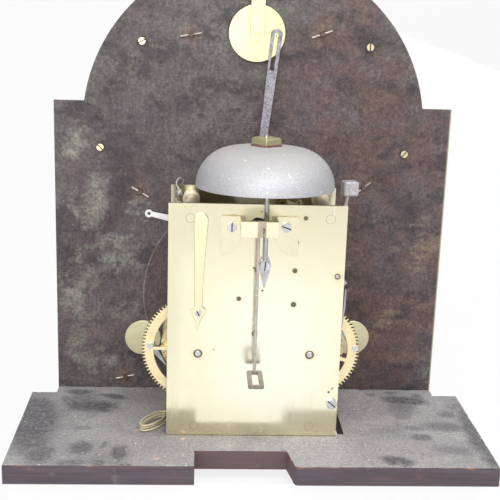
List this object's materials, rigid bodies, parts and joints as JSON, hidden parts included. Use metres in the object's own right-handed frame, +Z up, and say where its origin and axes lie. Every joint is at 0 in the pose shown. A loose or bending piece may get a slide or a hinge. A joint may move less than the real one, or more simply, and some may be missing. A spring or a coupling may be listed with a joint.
{
  "type": "longcase clock movement with dial",
  "caption": "Weight-driven striking longcase clock movement between brass plates, with bell, break-arch dial and hands, on its wooden seatboard.",
  "frame": {"origin": "on the underside of the seatboard, on the dial's centre line and fifteen millimetres in front of the back plate's rear face", "axes": "+Z up, +Y from the back plate towards the dial, +X to the right as seen from behind"},
  "size_m": [0.344, 0.153, 0.4169],
  "materials": {
    "oak": "old dusty unvarnished board",
    "steel": "worn grey steel",
    "plate_brass": "polished clock brass",
    "aged_brass": "darkened brass",
    "silvered": "silvered brass",
    "gilt": "gilt cast brass",
    "bell_metal": "dusty bell metal",
    "leather": "old leather",
    "gut": "twisted gut",
    "iron": "pitted iron",
    "blued": "blued steel"
  },
  "bodies": {
    "frame": {"seatboard": "oak", "seat_hooks": "steel", "back_plate": "plate_brass", "front_plate": "plate_brass", "plate_pillars": "plate_brass", "taper_pins": "steel", "back_cock": "plate_brass", "plate_screws": "steel", "bell_stand": "steel", "bell": "bell_metal", "bell_washer": "leather", "bell_nut": "plate_brass", "leaf_spring": "plate_brass", "hammer_spring": "steel", "hook_spring": "steel", "dial_plate": "aged_brass", "dial_feet": "aged_brass", "dial_discs": "aged_brass", "chapter_ring": "silvered", "small_rings": "silvered", "spandrels": "gilt", "spandrel_screws": "plate_brass", "arch_cock": "plate_brass", "hour_bridge": "plate_brass", "work_studs": "steel", "line_hank": "gut"},
    "going_great": {"going_great_wheel": "plate_brass"},
    "going_click": {"going_click": "steel"},
    "going_barrel": {"going_barrel": "plate_brass", "going_arbor": "steel", "line_wound": "gut"},
    "centre": {"centre_arbor": "steel", "centre_wheel": "plate_brass", "cannon_wheel": "plate_brass", "minute_hand": "blued"},
    "third": {"third_wheel": "plate_brass"},
    "escape": {"escape_wheel": "plate_brass", "escape_arbor": "steel", "seconds_hand": "blued"},
    "pallets": {"pallet_anchor": "steel", "crutch": "steel"},
    "minute_wheel": {"minute_wheel": "plate_brass"},
    "hour": {"hour_wheel": "plate_brass", "hour_hand": "blued"},
    "strike_great": {"strike_great_wheel": "plate_brass"},
    "strike_click": {"strike_click": "steel"},
    "strike_barrel": {"strike_barrel": "plate_brass", "strike_arbor": "steel"},
    "pin_wheel": {"pin_wheel": "plate_brass"},
    "locking": {"locking_wheel": "plate_brass"},
    "warning": {"warning_wheel": "plate_brass"},
    "fly": {"fly": "plate_brass"},
    "hammer": {"hammer": "iron"},
    "rack": {"rack": "steel"},
    "rack_hook": {"rack_hook": "steel"},
    "lifting_piece": {"lifting_piece": "steel"},
    "silent_disc": {"silent_disc": "plate_brass", "silent_hand": "blued"},
    "silent_lever": {"silent_lever": "iron"}
  },
  "joints": [
    {"name": "centre_turn", "type": "hinge", "parent": "frame", "child": "centre", "pos_m": [0, 0.02, 0.0943], "axis": [0, -1, 0], "continuous": true},
    {"name": "going_great_turn", "type": "hinge", "parent": "frame", "child": "going_great", "pos_m": [-0.0402, 0.02, 0.0786], "axis": [0, -1, 0], "continuous": true},
    {"name": "going_winding", "type": "hinge", "parent": "going_great", "child": "going_barrel", "pos_m": [-0.0402, 0.02, 0.0786], "axis": [0, -1, 0], "continuous": true},
    {"name": "going_click_lift", "type": "hinge", "parent": "going_great", "child": "going_click", "pos_m": [-0.07475, 0.02, 0.08041], "axis": [0, 1, 0], "range_deg": [0, 6], "stiffness_Nm_per_rad": 0.002, "springref_deg": -11.46},
    {"name": "third_turn", "type": "hinge", "parent": "frame", "child": "third", "pos_m": [-0.012, 0.02, 0.1202], "axis": [0, -1, 0], "continuous": true},
    {"name": "escape_turn", "type": "hinge", "parent": "frame", "child": "escape", "pos_m": [0, 0.02, 0.1417], "axis": [0, -1, 0], "continuous": true},
    {"name": "pallet_rock", "type": "hinge", "parent": "frame", "child": "pallets", "pos_m": [0, 0.02, 0.1733], "axis": [0, -1, 0], "range_deg": [-2.5, 2.5]},
    {"name": "minute_wheel_turn", "type": "hinge", "parent": "frame", "child": "minute_wheel", "pos_m": [-0.0096, 0.02, 0.068], "axis": [0, -1, 0], "continuous": true},
    {"name": "hour_turn", "type": "hinge", "parent": "frame", "child": "hour", "pos_m": [0, 0.02, 0.0943], "axis": [0, -1, 0], "continuous": true},
    {"name": "locking_turn", "type": "hinge", "parent": "frame", "child": "locking", "pos_m": [0.027, 0.02, 0.1414], "axis": [0, -1, 0], "continuous": true},
    {"name": "strike_great_turn", "type": "hinge", "parent": "frame", "child": "strike_great", "pos_m": [0.0402, 0.02, 0.0786], "axis": [0, -1, 0], "continuous": true},
    {"name": "strike_winding", "type": "hinge", "parent": "strike_great", "child": "strike_barrel", "pos_m": [0.0402, 0.02, 0.0786], "axis": [0, -1, 0], "continuous": true},
    {"name": "strike_click_lift", "type": "hinge", "parent": "strike_great", "child": "strike_click", "pos_m": [0.07475, 0.02, 0.08041], "axis": [0, 1, 0], "range_deg": [0, 6], "stiffness_Nm_per_rad": 0.002, "springref_deg": -11.46},
    {"name": "pin_wheel_turn", "type": "hinge", "parent": "frame", "child": "pin_wheel", "pos_m": [0.027, 0.02, 0.1165], "axis": [0, -1, 0], "continuous": true},
    {"name": "warning_turn", "type": "hinge", "parent": "frame", "child": "warning", "pos_m": [0.0272, 0.02, 0.1619], "axis": [0, -1, 0], "continuous": true},
    {"name": "fly_turn", "type": "hinge", "parent": "frame", "child": "fly", "pos_m": [0.0331, 0.02, 0.1794], "axis": [0, -1, 0], "continuous": true},
    {"name": "hammer_swing", "type": "hinge", "parent": "frame", "child": "hammer", "pos_m": [0.0574, 0.02, 0.1376], "axis": [0, 1, 0], "range_deg": [-5, 10], "stiffness_Nm_per_rad": 0.05, "springref_deg": -0.93},
    {"name": "rack_fall", "type": "hinge", "parent": "frame", "child": "rack", "pos_m": [0.048, 0.02, 0.093], "axis": [0, -1, 0], "range_deg": [0, 19]},
    {"name": "rack_hook_lift", "type": "hinge", "parent": "frame", "child": "rack_hook", "pos_m": [-0.036, 0.02, 0.155], "axis": [0, -1, 0], "range_deg": [0, 6]},
    {"name": "lifting_piece_lift", "type": "hinge", "parent": "frame", "child": "lifting_piece", "pos_m": [-0.056, 0.02, 0.071], "axis": [0, -1, 0], "range_deg": [0, 5]},
    {"name": "silent_disc_turn", "type": "hinge", "parent": "frame", "child": "silent_disc", "pos_m": [0, 0.02, 0.3005], "axis": [0, -1, 0], "range_deg": [-60, 0]},
    {"name": "silent_lever_swing", "type": "hinge", "parent": "frame", "child": "silent_lever", "pos_m": [0.0029, 0.02, 0.181], "axis": [0, -1, 0], "range_deg": [0, 3.4]}
  ],
  "couplings": [
    {"joint": "going_great_turn", "follows": "centre_turn", "ratio": -0.083333},
    {"joint": "third_turn", "follows": "centre_turn", "ratio": -7.5},
    {"joint": "escape_turn", "follows": "centre_turn", "ratio": 60},
    {"joint": "minute_wheel_turn", "follows": "centre_turn", "ratio": -1},
    {"joint": "hour_turn", "follows": "centre_turn", "ratio": 0.083333},
    {"joint": "pin_wheel_turn", "follows": "locking_turn", "ratio": -0.125},
    {"joint": "strike_great_turn", "follows": "locking_turn", "ratio": 0.011905},
    {"joint": "warning_turn", "follows": "locking_turn", "ratio": -8},
    {"joint": "fly_turn", "follows": "locking_turn", "ratio": 54.857},
    {"joint": "silent_lever_swing", "follows": "silent_disc_turn", "ratio": -0.056667}
  ]
}
